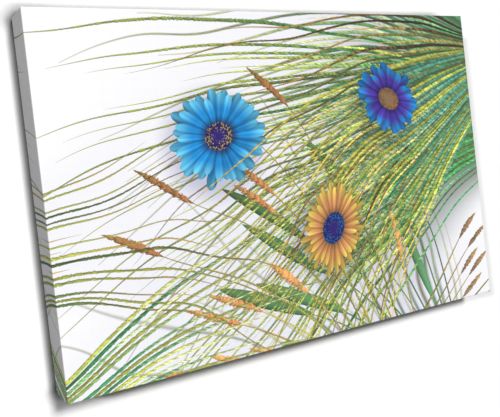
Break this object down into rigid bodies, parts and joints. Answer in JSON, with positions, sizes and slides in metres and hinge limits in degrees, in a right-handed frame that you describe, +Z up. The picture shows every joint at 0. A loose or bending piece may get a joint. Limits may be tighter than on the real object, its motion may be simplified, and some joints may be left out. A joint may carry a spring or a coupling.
{
  "type": "stretched canvas print",
  "caption": "Oblong gallery-wrapped canvas print: one sheet of canvas folded round a frame of mitred pine stretcher bars and stapled to their backs.",
  "frame": {"origin": "middle of the top stretcher bar's underside, 8 mm in front of the wall side of the canvas, where a wall hook carries it", "axes": "+X to the right seen from the front, +Y towards the wall, +Z up as it hangs"},
  "size_m": [0.508, 0.0394, 0.331],
  "materials": {
    "printed_canvas": "white cotton canvas with a matt print on the front and sides",
    "pine": "planed bare pine",
    "staple_steel": "bright galvanised wire"
  },
  "bodies": {
    "root": {"canvas": "printed_canvas", "stretcher_bar_top": "pine", "stretcher_bar_bottom": "pine", "stretcher_bar_left": "pine", "stretcher_bar_right": "pine", "staple_01": "staple_steel", "staple_02": "staple_steel", "staple_03": "staple_steel", "staple_04": "staple_steel", "staple_05": "staple_steel", "staple_06": "staple_steel", "staple_07": "staple_steel", "staple_08": "staple_steel", "staple_09": "staple_steel", "staple_10": "staple_steel", "staple_11": "staple_steel", "staple_12": "staple_steel", "staple_13": "staple_steel", "staple_14": "staple_steel", "staple_15": "staple_steel", "staple_16": "staple_steel", "staple_17": "staple_steel", "staple_18": "staple_steel", "staple_19": "staple_steel", "staple_20": "staple_steel", "staple_21": "staple_steel", "staple_22": "staple_steel", "staple_23": "staple_steel", "staple_24": "staple_steel", "staple_25": "staple_steel", "staple_26": "staple_steel", "staple_27": "staple_steel", "staple_28": "staple_steel"}
  },
  "joints": []
}
